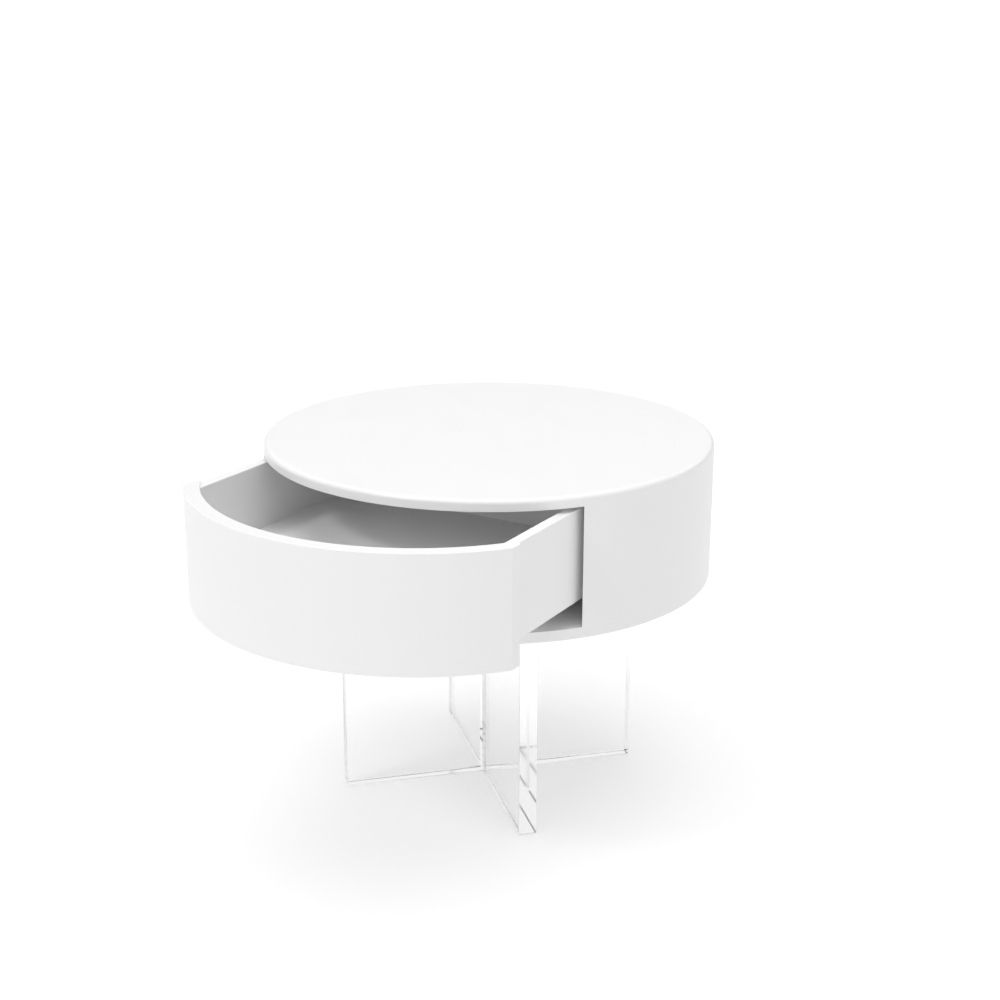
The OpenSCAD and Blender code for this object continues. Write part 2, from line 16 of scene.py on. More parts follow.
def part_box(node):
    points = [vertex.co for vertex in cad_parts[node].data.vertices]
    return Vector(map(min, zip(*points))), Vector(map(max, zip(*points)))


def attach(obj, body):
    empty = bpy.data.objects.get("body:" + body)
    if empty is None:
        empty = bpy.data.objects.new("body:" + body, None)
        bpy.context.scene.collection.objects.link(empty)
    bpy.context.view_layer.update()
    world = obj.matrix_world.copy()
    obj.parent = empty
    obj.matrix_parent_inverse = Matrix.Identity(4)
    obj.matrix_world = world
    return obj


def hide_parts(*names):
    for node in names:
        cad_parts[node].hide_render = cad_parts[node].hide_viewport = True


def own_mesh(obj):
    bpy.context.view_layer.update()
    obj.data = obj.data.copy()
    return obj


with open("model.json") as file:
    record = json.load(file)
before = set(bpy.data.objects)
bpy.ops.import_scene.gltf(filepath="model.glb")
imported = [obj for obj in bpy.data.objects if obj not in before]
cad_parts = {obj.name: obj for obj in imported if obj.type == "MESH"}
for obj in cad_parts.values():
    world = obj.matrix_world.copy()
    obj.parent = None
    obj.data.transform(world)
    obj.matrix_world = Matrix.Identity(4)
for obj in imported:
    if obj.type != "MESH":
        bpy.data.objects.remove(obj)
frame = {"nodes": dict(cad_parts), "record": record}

scene = bpy.context.scene
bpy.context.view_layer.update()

# %% [markdown]
# The camera stands where the photographer stood. Its turn, tilt and distance were worked out
# from the ellipse of the top and the straight lines of the drawer. A camera looks along its own
# -Z, so its matrix is built from three plain directions: right, up and back.

# %% Camera
view_yaw = math.radians(-30.16)
view_pitch = math.radians(17.43)
view_roll = math.radians(0.21)
view_from = Vector((0.9214, -1.5610, 0.9011))
lens_mm = 60.47
sensor_mm = 36.0
forward = Vector((
    math.sin(view_yaw) * math.cos(view_pitch),
    math.cos(view_yaw) * math.cos(view_pitch),
    -math.sin(view_pitch)))
level_right = Vector((math.cos(view_yaw), -math.sin(view_yaw), 0))
right = Matrix.Rotation(-view_roll, 3, forward) @ level_right
up = right.cross(forward)
camera = bpy.data.objects.new("camera", bpy.data.cameras.new("camera"))
scene.collection.objects.link(camera)
facing = Matrix((right, up, -forward)).transposed().to_4x4()
camera.matrix_world = Matrix.Translation(view_from) @ facing
camera.data.sensor_width = sensor_mm
camera.data.lens = lens_mm
scene.camera = camera
print("camera", [round(x, 3) for x in view_from])

# %% [markdown]
# White on white needs honest tones, so the picture is shown without a film curve. The floor is
# pale and very large. It glows a little by itself, which keeps the shadow under the table as
# faint as it is in a bright studio. It lies a hair under the clear panels, because a face that
# coincides with another one would flicker.

# %% Floor and tones
scene.view_settings.view_transform = "Standard"
floor_size = 400.0
floor_shine = 0.592
floor_pale = 0.42
floor_rough = 0.9
floor_gap = 0.0003


def new_material(name):
    """A new node material, its web of nodes and its main shader."""
    material = bpy.data.materials.new(name)
    material.use_nodes = True
    shader = material.node_tree.nodes["Principled BSDF"]
    return material, material.node_tree, shader


floor_mesh = bpy.data.meshes.new("studio_floor")
bm = bmesh.new()
bmesh.ops.create_grid(bm, x_segments=1, y_segments=1, size=floor_size / 2)
bm.to_mesh(floor_mesh)
bm.free()
floor = bpy.data.objects.new("studio_floor", floor_mesh)
floor.location.z = -floor_gap
scene.collection.objects.link(floor)
floor_paint, _, shader = new_material("studio_paper")
shader.inputs["Base Color"].default_value = (floor_pale, floor_pale, floor_pale, 1)
shader.inputs["Roughness"].default_value = floor_rough
shader.inputs["Specular IOR Level"].default_value = 0.0
shader.inputs["Emission Color"].default_value = (1, 1, 1, 1)
shader.inputs["Emission Strength"].default_value = floor_shine
floor_mesh.materials.append(floor_paint)
print("floor", floor_size, "m across")

# %% [markdown]
# The room is dim, with bright white walls all round at half height, as soft boxes in a studio
# are. They light the upright faces evenly, and clear acrylic shows them in its edges, which keeps
# the panels bright. Two soft lamps stand far away. The one overhead makes the top and the rims
# nearly white. The one at the front left reaches into the drawer, where the lip of the top
# throws its round shadow on the drawer's bottom. A lamp of brightness 1 would turn a white face
# that looks straight at it fully white, and its spread is how wide it looks. The walls start and
# end softly, between two heights that are sines of the angle above the horizon. Behind the far
# end of the floor the camera sees plain white paper, also when it looks straight through the
# clear panels, so no view of the table ends in a grey sky. Light that was scattered or mirrored
# on its way comes from the room.

# %% Light
room_light = 0.20
wall_light = 0.70
paper_light = 1.0
walls_start = (0.25, 0.40)
walls_end = (0.55, 0.75)

world = bpy.data.worlds.new("studio_room")
scene.world = world
world.use_nodes = True
web = world.node_tree
room = web.nodes["Background"]
room.inputs["Color"].default_value = (1, 1, 1, 1)
towards = web.nodes.new("ShaderNodeTexCoord")
height = web.nodes.new("ShaderNodeSeparateXYZ")
web.links.new(towards.outputs["Generated"], height.inputs["Vector"])


def remap(web, value, start, end, first, last, kind="LINEAR"):
    """A value that runs from first to last while the given one runs from start to end."""
    step = web.nodes.new("ShaderNodeMapRange")
    step.interpolation_type = kind
    step.inputs["From Min"].default_value = start
    step.inputs["From Max"].default_value = end
    step.inputs["To Min"].default_value = first
    step.inputs["To Max"].default_value = last
    web.links.new(value, step.inputs["Value"])
    return step.outputs["Result"]


above_floor = remap(web, height.outputs["Z"], *walls_start, 0, wall_light, "SMOOTHSTEP")
below_ceiling = remap(web, height.outputs["Z"], *walls_end, 1, 0, "SMOOTHSTEP")
room_strength = web.nodes.new("ShaderNodeMath")
room_strength.operation = "MULTIPLY_ADD"
room_strength.inputs[2].default_value = room_light
web.links.new(above_floor, room_strength.inputs[0])
web.links.new(below_ceiling, room_strength.inputs[1])


def combine(web, operation, first, second):
    """One value from two by that operation."""
    node = web.nodes.new("ShaderNodeMath")
    node.operation = operation
    web.links.new(first, node.inputs[0])
    web.links.new(second, node.inputs[1])
    return node.outputs["Value"]


route = web.nodes.new("ShaderNodeLightPath").outputs
bends = combine(web, "MAXIMUM", route["Diffuse Depth"], route["Glossy Depth"])
through_panels = combine(web, "GREATER_THAN", route["Is Transmission Ray"], bends)
seen_straight = combine(web, "MAXIMUM", route["Is Camera Ray"], through_panels)
paper_or_room = web.nodes.new("ShaderNodeMix")
paper_or_room.inputs["B"].default_value = paper_light
web.links.new(seen_straight, paper_or_room.inputs["Factor"])
web.links.new(room_strength.outputs["Value"], paper_or_room.inputs["A"])
web.links.new(paper_or_room.outputs["Result"], room.inputs["Strength"])


def far_lamp(name, azimuth, elevation, spread, brightness):
    """A far lamp, its angles in degrees. Azimuth 0 is in front of the drawer, 90 on the right."""
    turn, lift = math.radians(azimuth), math.radians(elevation)
    away = Vector((
        math.sin(turn) * math.cos(lift),
        -math.cos(turn) * math.cos(lift),
        math.sin(lift)))
    lamp = bpy.data.objects.new(name, bpy.data.lights.new(name, "SUN"))
    lamp.data.angle = math.radians(spread)
    lamp.data.energy = math.pi * brightness
    lamp.matrix_world = away.to_track_quat("Z", "Y").to_matrix().to_4x4()
    scene.collection.objects.link(lamp)


far_lamp("overhead_lamp", azimuth=0, elevation=88, spread=60, brightness=0.66)
far_lamp("front_left_lamp", azimuth=337, elevation=43, spread=8, brightness=0.195)

# %% [markdown]
# Every finish is a small web of nodes that starts from the object's own coordinates, in metres,
# so a speck or a grain has its real size. One helper makes a noise of a given size. The others
# turn it into a faint change of a value or a colour between two ends, or raise it as a fine bump.

# %% Helpers for finishes
usual_noise = (0.3, 0.7)


def noise(web, size, stretch=(1, 1, 1), detail=3.0, seed=(0, 0, 0)):
    """Noise with features of that size in metres, drawn out along the axes with a stretch above 1."""
    place = web.nodes.new("ShaderNodeTexCoord")
    mapping = web.nodes.new("ShaderNodeMapping")
    mapping.inputs["Location"].default_value = seed
    mapping.inputs["Scale"].default_value = [1 / (size * s) for s in stretch]
    grain = web.nodes.new("ShaderNodeTexNoise")
    grain.inputs["Scale"].default_value = 1.0
    grain.inputs["Detail"].default_value = detail
    web.links.new(place.outputs["Object"], mapping.inputs["Vector"])
    web.links.new(mapping.outputs["Vector"], grain.inputs["Vector"])
    return grain.outputs["Fac"]


def between(web, factor, low, high):
    """A value that runs from low to high as the noise does."""
    return remap(web, factor, *usual_noise, low, high)


def blend_colours(web, factor, first, second):
    """A colour between two colours."""
    mix = web.nodes.new("ShaderNodeMix")
    mix.data_type = "RGBA"
    mix.inputs["A"].default_value = (*first, 1)
    mix.inputs["B"].default_value = (*second, 1)
    web.links.new(factor, mix.inputs["Factor"])
    return mix.outputs["Result"]


def bump(web, shader, height, depth):
    """Raise the surface by the noise, by about that depth in metres."""
    relief = web.nodes.new("ShaderNodeBump")
    relief.inputs["Strength"].default_value = 1.0
    relief.inputs["Distance"].default_value = depth
    web.links.new(height, relief.inputs["Height"])
    web.links.new(relief.outputs["Normal"], shader.inputs["Normal"])


# %% [markdown]
# White lacquer is sprayed and cures with a very faint orange peel, a few millimetres from hill
# to hill. The colour is almost even and the gloss is satin. Inside the drawer the coat is thinner
# and more matt, as it is on real drawers, so it has its own mix. Its white is also a little
# lighter than the outer coat. That is painted light, which lifts the shade inside the drawer and the
# bay.

# %% White lacquer
cloud_size = 0.12
cloud_shade = 0.99
gloss_patch_size = 0.03
peel_size = 0.004
peel_depth = 0.00002


def lacquer(name, tone, rough):
    """A sprayed white coat."""
    material, web, shader = new_material(name)
    cloud = noise(web, cloud_size)
    shade = blend_colours(web, cloud, [tone * cloud_shade] * 3, [tone] * 3)
    web.links.new(shade, shader.inputs["Base Color"])
    patches = noise(web, gloss_patch_size)
    web.links.new(between(web, patches, *rough), shader.inputs["Roughness"])
    bump(web, shader, noise(web, peel_size, detail=2.0), peel_depth)
    return material


outer_lacquer = lacquer("outer_lacquer", tone=0.88, rough=(0.30, 0.36))
# The inner coat's lighter tone is painted light that brightens the shaded inside of the drawer and the
# bay.
inner_lacquer_with_painted_light = lacquer("inner_lacquer_with_painted_light", tone=0.92, rough=(0.45, 0.55))
print("lacquer", outer_lacquer.name, inner_lacquer_with_painted_light.name)

# %% [markdown]
# Clear acrylic lets light through and bends it, so the shader is set to transmit, with the
# refraction of acrylic. The large faces are cast and nearly perfect. The narrow edges were sawn
# and flame polished, which leaves fine upright streaks, so they get a second material. Light runs
# a long way inside a panel, from face to face, so the renderer may follow it for more bounces.
# Where the two panels are cemented together the faces vanish, because the cement refracts light
# as acrylic does. Between two such faces there is no change, so they get a refraction of one.

# %% Clear acrylic
acrylic_refraction = 1.49
cement_refraction = 1.0
streak_size = 0.002
scene.cycles.max_bounces = 32
scene.cycles.glossy_bounces = 16
scene.cycles.transmission_bounces = 24


def see_through(name, refraction, rough, streak=(1, 1, 1), depth=0):
    """A clear material with a fine pattern of that stretch, and of that depth if it has one."""
    material, web, shader = new_material(name)
    shader.inputs["Base Color"].default_value = (1, 1, 1, 1)
    shader.inputs["Transmission Weight"].default_value = 1.0
    shader.inputs["IOR"].default_value = refraction
    pattern = noise(web, streak_size, stretch=streak)
    web.links.new(between(web, pattern, *rough), shader.inputs["Roughness"])
    if depth:
        bump(web, shader, pattern, depth)
    return material


clear_face = see_through("clear_acrylic_face", acrylic_refraction, (0.0, 0.02), (20, 20, 20), 0.0000005)
clear_edge = see_through("clear_acrylic_edge", acrylic_refraction, (0.02, 0.16), (1, 1, 30), 0.00002)
clear_cement = see_through("clear_cement", cement_refraction, (0.0, 0.01))
print("acrylic", clear_face.name, clear_edge.name, clear_cement.name)

# %% [markdown]
# The fittings are plain workshop materials: zinc plated steel with fine lines along the rail,
# polished balls, brass, sanded beech, grey moulded plastic and a soft rubber tip.

# %% Metals, wood and plastics
metal_shade = 0.9
metal_relief = 0.000005
moulded_grain = 0.0006
moulded_shade = 0.94
moulded_relief = 0.00003
beech_dark = (0.52, 0.34, 0.18)
beech_light = (0.70, 0.50, 0.30)
beech_ray = (0.38, 0.22, 0.11)
beech_grain = 0.003
beech_ray_size = 0.0012
beech_ray_strength = 0.35
beech_rough = 0.62
beech_relief = 0.00004


def metal(name, colour, rough, size, stretch):
    """A metal with fine lines or specks."""
    material, web, shader = new_material(name)
    pattern = noise(web, size, stretch=stretch)
    shade = blend_colours(web, pattern, [c * metal_shade for c in colour], colour)
    web.links.new(shade, shader.inputs["Base Color"])
    shader.inputs["Metallic"].default_value = 1.0
    web.links.new(between(web, pattern, *rough), shader.inputs["Roughness"])
    bump(web, shader, pattern, metal_relief)
    return material


def moulded(name, colour, rough):
    """Plastic or rubber with a fine moulded grain."""
    material, web, shader = new_material(name)
    pattern = noise(web, moulded_grain)
    shade = blend_colours(web, pattern, [c * moulded_shade for c in colour], colour)
    web.links.new(shade, shader.inputs["Base Color"])
    web.links.new(between(web, pattern, *rough), shader.inputs["Roughness"])
    bump(web, shader, pattern, moulded_relief)
    return material


def sanded_beech(name):
    """Beech: a warm ground, long soft grain along Y and the short dark flecks of its rays."""
    material, web, shader = new_material(name)
    grain = noise(web, beech_grain, stretch=(1, 25, 1), detail=6.0)
    ground = blend_colours(web, grain, beech_dark, beech_light)
    flecks = noise(web, beech_ray_size, stretch=(1, 4, 1), detail=1.0, seed=(3, 5, 7))
    strength = between(web, flecks, 0.0, beech_ray_strength)
    fleck = web.nodes.new("ShaderNodeMix")
    fleck.data_type = "RGBA"
    fleck.inputs["B"].default_value = (*beech_ray, 1)
    web.links.new(strength, fleck.inputs["Factor"])
    web.links.new(ground, fleck.inputs["A"])
    web.links.new(fleck.outputs["Result"], shader.inputs["Base Color"])
    shader.inputs["Roughness"].default_value = beech_rough
    bump(web, shader, grain, beech_relief)
    return material


fittings = {
    "zinc_steel": metal("zinc_steel", (0.62, 0.63, 0.66), (0.28, 0.42), 0.0006, (1, 30, 1)),
    "ball_steel": metal("polished_steel", (0.72, 0.73, 0.75), (0.05, 0.10), 0.001, (1, 1, 1)),
    "brass": metal("plain_brass", (0.72, 0.52, 0.22), (0.22, 0.34), 0.0008, (1, 8, 1)),
    "beech": sanded_beech("sanded_beech"),
    "grey_plastic": moulded("grey_plastic", (0.42, 0.43, 0.45), (0.42, 0.55)),
    "soft_tip": moulded("soft_tip", (0.02, 0.02, 0.02), (0.65, 0.8)),
    "white_lacquer": outer_lacquer,
    "clear_acrylic": clear_face,
}
for part in frame["record"]["subparts"]:
    mesh = frame["nodes"][part["node"]].data
    mesh.materials.clear()
    mesh.materials.append(fittings[part["material_slot"]])
print("finishes", len(fittings))

# %% [markdown]
# A new piece is modelled as a bmesh in place, in the frame of the whole table. This helper turns
# it into an object: smooth faces with sharp breaks at true corners, riding on its body, and it
# hides the nodes of the measured model that it stands for. The even shading modifier lets the large
# flat faces keep their flat look beside the small rounded edges. Where the face of a new piece
# would coincide with another one, it stays a hair short of it, because the two would flicker.
# Edges and corners are picked by where they lie, and by the axis that an edge runs along.

# %% Helpers for pieces
sharp_angle = math.radians(40)
corner_angle = math.radians(30)
flush_gap = 0.0001
near = 0.001
same_level = 1e-5
same_place = 1e-6
cut_gap = 1e-7
straight = 0.99


def piece(name, bm, body, slot, materials, *nodes):
    """An object from a bmesh, riding on its body, with the nodes that it stands for hidden."""
    if not any(e.is_boundary for e in bm.edges):
        bmesh.ops.recalc_face_normals(bm, faces=bm.faces)
    mesh = bpy.data.meshes.new(name)
    bm.to_mesh(mesh)
    bm.free()
    for material in materials:
        mesh.materials.append(material)
    mesh.shade_smooth()
    mesh.set_sharp_from_angle(angle=sharp_angle)
    made = bpy.data.objects.new(name, mesh)
    scene.collection.objects.link(made)
    even = made.modifiers.new("even_shading", "WEIGHTED_NORMAL")
    even.keep_sharp = True
    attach(made, body)
    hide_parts(*nodes)
    print(name, len(mesh.polygons), "faces")
    return made


def round_edges(bm, edges, radius, segments=3):
    """Round these edges, as sanding and lacquer do."""
    bmesh.ops.bevel(
        bm, geom=list(edges), offset=radius, offset_type="OFFSET", segments=segments,
        profile=0.5, material=-1, affect="EDGES", clamp_overlap=True)


def corner_edges(bm):
    """The edges where two faces meet at a true corner."""
    return [e for e in bm.edges if len(e.link_faces) == 2 and e.calc_face_angle(0) > corner_angle]


def board(low, high):
    """A plain board from its lowest to its highest corner."""
    bm = bmesh.new()
    middle = (low + high) / 2
    size = Matrix.Diagonal((*(high - low), 1))
    bmesh.ops.create_cube(bm, size=1.0, matrix=Matrix.Translation(middle) @ size)
    return bm


def pull(bm, way):
    """Pull a flat outline that way, which makes it a solid."""
    pulled = bmesh.ops.extrude_face_region(bm, geom=bm.faces[:])
    verts = [v for v in pulled["geom"] if isinstance(v, bmesh.types.BMVert)]
    bmesh.ops.translate(bm, verts=verts, vec=way)


def middle_of(edge):
    """The middle of an edge."""
    return (edge.verts[0].co + edge.verts[1].co) / 2


def along(edge):
    """The direction of an edge, without a sign."""
    d = (edge.verts[1].co - edge.verts[0].co).normalized()
    return Vector((abs(d.x), abs(d.y), abs(d.z)))


# %% [markdown]
# The top is a disc. A circle is filled, pulled up to the board's thickness, and its upper edge
# gets the large rounding that the photograph shows as a soft grey band. Over the drawer the
# lower edge is a free lip, and there it has a small rounding of its own. Elsewhere it meets the
# wall of the drum, and the lacquer runs over the joint.

# %% Top
top_low, top_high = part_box("top_panel")
drum_r = top_high.x
opening_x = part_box("partition_right")[0].x
top_rounding = 0.005
lip_rounding = 0.0015
round_steps = 288


def disc(radius, low_z, high_z):
    """A round board."""
    bm = bmesh.new()
    flat = Matrix.Translation((0, 0, low_z))
    bmesh.ops.create_circle(bm, cap_ends=True, segments=round_steps, radius=radius, matrix=flat)
    pull(bm, (0, 0, high_z - low_z))
    return bm


bm = disc(drum_r, top_low.z, top_high.z)
upper = [e for e in corner_edges(bm) if middle_of(e).z > top_high.z - near]
round_edges(bm, upper, top_rounding, segments=10)
lip = [e for e in corner_edges(bm)
       if middle_of(e).z < top_low.z + near
       and middle_of(e).y < 0 and abs(middle_of(e).x) < opening_x]
round_edges(bm, lip, lip_rounding, segments=4)
piece("top_board", bm, "cabinet", "white_lacquer", [outer_lacquer], "top_panel")

# %% [markdown]
# The wall of the drum is a ring with a gap for the drawer. A small upright rectangle is spun
# round the axis, the front is cut away between two upright planes, and the cut ends are closed.
# The sharp upright edges of the opening are blunted, and this is the fine bright line beside the
# drawer.

# %% Wall of the drum
wall_low, wall_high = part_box("side_shell")
wall_t = 0.016
opening_edge = 0.0014


def upright_ring(inner_r, outer_r, low_z, high_z, start, sweep, steps, centre=(0, 0, 0)):
    """A ring or a part of one, spun from an upright rectangle. A whole ring keeps no end face."""
    bm = bmesh.new()
    corners = [(inner_r, low_z), (outer_r, low_z), (outer_r, high_z), (inner_r, high_z)]
    profile = bm.faces.new([bm.verts.new((r, 0, z)) for r, z in corners])
    bmesh.ops.rotate(bm, verts=bm.verts, cent=(0, 0, 0), matrix=Matrix.Rotation(start, 3, "Z"))
    bmesh.ops.translate(bm, verts=bm.verts, vec=centre)
    whole = sweep >= math.tau
    if whole:
        bmesh.ops.delete(bm, geom=[profile], context="FACES_ONLY")
    bmesh.ops.spin(
        bm, geom=bm.faces[:] + bm.edges[:] + bm.verts[:], cent=centre, axis=(0, 0, 1),
        angle=sweep, steps=steps, use_merge=whole)
    return bm


def cut_away(bm, faces, point, normal):
    """Cut these faces with a plane, remove what its normal points to, and close the cut."""
    geom = set(faces)
    for f in faces:
        geom.update(f.edges)
        geom.update(f.verts)
    bmesh.ops.bisect_plane(
        bm, geom=list(geom), plane_co=point, plane_no=normal, clear_outer=True, dist=cut_gap)
    rim = [e for e in bm.edges if len(e.link_faces) == 1]
    bmesh.ops.holes_fill(bm, edges=rim)


bm = upright_ring(drum_r - wall_t, drum_r, wall_low.z, wall_high.z, 0, math.tau, round_steps)
bm.normal_update()
for side in (-1, 1):
    front = [f for f in bm.faces
             if f.calc_center_median().y < 0 and 0 < side * f.calc_center_median().x]
    cut_away(bm, front, (side * opening_x, 0, 0), (-side, 0, 0))
lips = [e for e in corner_edges(bm)
        if along(e).z > straight and abs(abs(middle_of(e).x) - opening_x) < near]
round_edges(bm, [e for e in lips if middle_of(e).xy.length > drum_r - near], opening_edge)
piece("drum_wall", bm, "cabinet", "white_lacquer", [outer_lacquer], "side_shell")

# %% Partitions beside the drawer
partition_edge = 0.0006

for side in ("left", "right"):
    low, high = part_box("partition_" + side)
    bm = board(low, high)
    upright = [e for e in bm.edges if along(e).z > straight]
    round_edges(bm, upright, partition_edge, segments=2)
    piece("bay_wall_" + side, bm, "cabinet", "white_lacquer", [inner_lacquer_with_painted_light], "partition_" + side)

# %% [markdown]
# The drawer front is a slice of the same kind of ring. It is spun a little wider than it needs
# to be and both ends are cut straight. Behind each end the inner corner is cut off, down to the
# side board, so that the drawer clears the wall of the drum. Then every edge gets a fine rounding.

# %% Drawer front
front_low, front_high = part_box("drawer_front")
front_t = 0.017
front_edge = 0.0012
front_end_l = 0.014
pulled_out = -front_low.y - drum_r
drawer_centre = Vector((0, -pulled_out, 0))
side_in_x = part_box("drawer_side_right")[0].x
side_out_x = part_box("drawer_side_right")[1].x
spun_wide = math.radians(60)
front_steps = 120

bm = upright_ring(
    drum_r - front_t, drum_r, front_low.z, front_high.z,
    -math.pi / 2 - spun_wide, 2 * spun_wide, front_steps, drawer_centre)
for side in (-1, 1):
    cut_away(bm, bm.faces[:], (side * front_high.x, 0, 0), (side, 0, 0))
bmesh.ops.remove_doubles(bm, verts=bm.verts, dist=same_place)
end_back_y = drawer_centre.y - math.sqrt(drum_r ** 2 - front_high.x ** 2) + front_end_l
meets_side_y = drawer_centre.y - math.sqrt((drum_r - front_t) ** 2 - side_out_x ** 2)
for side in (-1, 1):
    cut = Vector((front_high.x - side_out_x, end_back_y - meets_side_y, 0))
    outward = Vector((-cut.y * side, cut.x, 0))
    cut_away(bm, bm.faces[:], (side * front_high.x, end_back_y, 0), outward)
bmesh.ops.recalc_face_normals(bm, faces=bm.faces)
round_edges(bm, corner_edges(bm), front_edge)
piece("drawer_front_board", bm, "drawer", "white_lacquer", [outer_lacquer], "drawer_front")

# %% [markdown]
# The sides and the back are plain boards with softened edges. Each side runs a hair into the
# front board, so that no gap shows at the glued joint, and its end is cut to the slant of the
# curve.

# %% Drawer sides and back
board_edge = 0.001
into_front = 0.0004


def front_inner_y(x):
    """Where the curved inner face of the front stands at x."""
    return drawer_centre.y - math.sqrt((drum_r - front_t) ** 2 - x * x)


for side, sign in (("left", -1), ("right", 1)):
    low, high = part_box("drawer_side_" + side)
    inner_y = front_inner_y(side_in_x) - into_front
    outer_y = front_inner_y(side_out_x) - into_front
    low.y = inner_y
    bm = board(low, high)
    slant = Vector((sign * (side_out_x - side_in_x), outer_y - inner_y, 0))
    towards_front = Vector((slant.y * sign, -slant.x * sign, 0))
    cut_away(bm, bm.faces[:], (sign * side_in_x, inner_y, 0), towards_front)
    soft = [e for e in corner_edges(bm)
            if along(e).y > straight or (along(e).z > straight and middle_of(e).y > high.y - near)]
    round_edges(bm, soft, board_edge)
    piece("drawer_side_board_" + side, bm, "drawer", "white_lacquer", [outer_lacquer],
          "drawer_side_" + side)

low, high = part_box("drawer_back")
bm = board(low, high)
upper = [e for e in bm.edges if along(e).x > straight and middle_of(e).z > high.z - near]
round_edges(bm, upper, board_edge)
piece("drawer_back_board", bm, "drawer", "white_lacquer", [inner_lacquer_with_painted_light], "drawer_back")

# %% [markdown]
# The drawer's bottom is a disc cut straight at the sides and at the back. Its rim sits in a
# groove in the boards round it, so only the flat of it shows. Underneath it is a hair thinner, so
# that it doesn't coincide with the flush heads of its screws.

# %% Drawer bottom
low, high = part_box("drawer_bottom")
bm = disc(drawer_centre.y - low.y, low.z + flush_gap, high.z)
bmesh.ops.translate(bm, verts=bm.verts, vec=drawer_centre)
cut_away(bm, bm.faces[:], (0, high.y, 0), (0, 1, 0))
for side in (-1, 1):
    cut_away(bm, bm.faces[:], (side * high.x, 0, 0), (side, 0, 0))
piece("drawer_bottom_board", bm, "drawer", "white_lacquer", [inner_lacquer_with_painted_light], "drawer_bottom")

# %% [markdown]
# Two acrylic panels cross by halving slots, and clear cement joins them. The outline of the whole
# cross is pulled up to its height and its outer edges are slightly broken, as polished acrylic
# is, most at the feet. Then each panel keeps the faces of its own arms and of its half of the
# middle. Its slot is closed with walls and a floor of its own, and so are the places where the
# other panel touches it. A hair of room between the panels stands for the cement, because faces
# that coincide would catch the light between them. The sawn narrow faces get the streaked material.

# %% Clear panels
cross_turn = math.radians(45)
panel_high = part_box("acrylic_panel_slot_up")[1]
panel_t = 0.020
panel_l = 2 * panel_high.x / math.cos(cross_turn) - panel_t
panel_edge = 0.0005
foot_edge = 0.001
cement = 0.0001
looks_across = 0.9
on_face, on_edge, in_joint = range(3)


def close_joint(bm, corners):
    """A face of the cemented joint, from its corners in one plane."""
    middle = sum((v.co for v in corners), Vector()) / len(corners)
    across = (corners[0].co - middle).normalized()
    spokes = [v.co - middle for v in corners]
    other = next(s for s in spokes if abs(s.normalized().dot(across)) < straight)
    upright = (other - across * other.dot(across)).normalized()
    corners.sort(key=lambda v: math.atan2((v.co - middle).dot(upright), (v.co - middle).dot(across)))
    bm.faces.new(corners).material_index = in_joint


def clear_panel(name, node, length, slot_is_up):
    """One panel along axis 0 or 1, cut out of the skin of the cross and closed at the joint."""
    arm, half = panel_l / 2, panel_t / 2
    thickness = 1 - length
    top = panel_high.z - flush_gap
    wall = half + cement
    slot_end = (top - cement if slot_is_up else top + cement) / 2
    quarter = [Vector((arm, -half, 0)), Vector((arm, half, 0)), Vector((half, half, 0))]
    bm = bmesh.new()
    outline = [Matrix.Rotation(math.pi / 2 * i, 3, "Z") @ p for i in range(4) for p in quarter]
    bm.faces.new([bm.verts.new(p) for p in outline])
    pull(bm, (0, 0, top))
    bmesh.ops.recalc_face_normals(bm, faces=bm.faces)
    feet = [e for e in corner_edges(bm) if middle_of(e).z < near]
    round_edges(bm, feet, foot_edge, segments=1)
    upper = [e for e in corner_edges(bm)
             if e.is_convex and max(v.co.z for v in e.verts) > 2 * foot_edge]
    round_edges(bm, upper, panel_edge, segments=2)
    cuts = [(length, wall), (length, -wall), (thickness, half), (thickness, -half), (2, slot_end)]
    for axis, place in cuts:
        normal = Vector((0, 0, 0))
        normal[axis] = 1
        everything = bm.faces[:] + bm.edges[:] + bm.verts[:]
        bmesh.ops.bisect_plane(
            bm, geom=everything, plane_co=normal * place, plane_no=normal, dist=cut_gap)
    others = []
    for f in bm.faces:
        c = f.calc_center_median()
        in_slot = (c.z > slot_end) == slot_is_up and abs(c[length]) < wall
        if in_slot or abs(c[thickness]) > half + same_place:
            others.append(f)
        f.material_index = on_face if abs(f.normal[thickness]) > looks_across else on_edge
    bmesh.ops.delete(bm, geom=others, context="FACES")
    rim = [v for v in bm.verts if v.is_boundary]
    joint = [[v for v in rim if abs(v.co.z - slot_end) < same_place]]
    for side in (-1, 1):
        joint.append([v for v in rim if abs(v.co[length] - side * wall) < same_place])
        joint.append([v for v in rim if abs(v.co[thickness] - side * half) < same_place
                      and abs(v.co[length]) < half + same_place])
    for corners in joint:
        close_joint(bm, corners)
    bmesh.ops.rotate(bm, verts=bm.verts, cent=(0, 0, 0), matrix=Matrix.Rotation(cross_turn, 3, "Z"))
    piece(name, bm, "cabinet", "clear_acrylic", [clear_face, clear_edge, clear_cement], node)


clear_panel("clear_panel_slot_up", "acrylic_panel_slot_up", 0, True)
clear_panel("clear_panel_slot_down", "acrylic_panel_slot_down", 1, False)

# %% [markdown]
# The bottom of the drum is the same disc as the top, but its lower edge is only broken. The two
# battens on it carry the rails of the drawer, and two more hang under the drawer. They are
# lacquered with the rest, as the photograph shows in the gap under the open drawer.

# %% Bottom of the drum and battens
underside_edge = 0.001
batten_edge = 0.0008

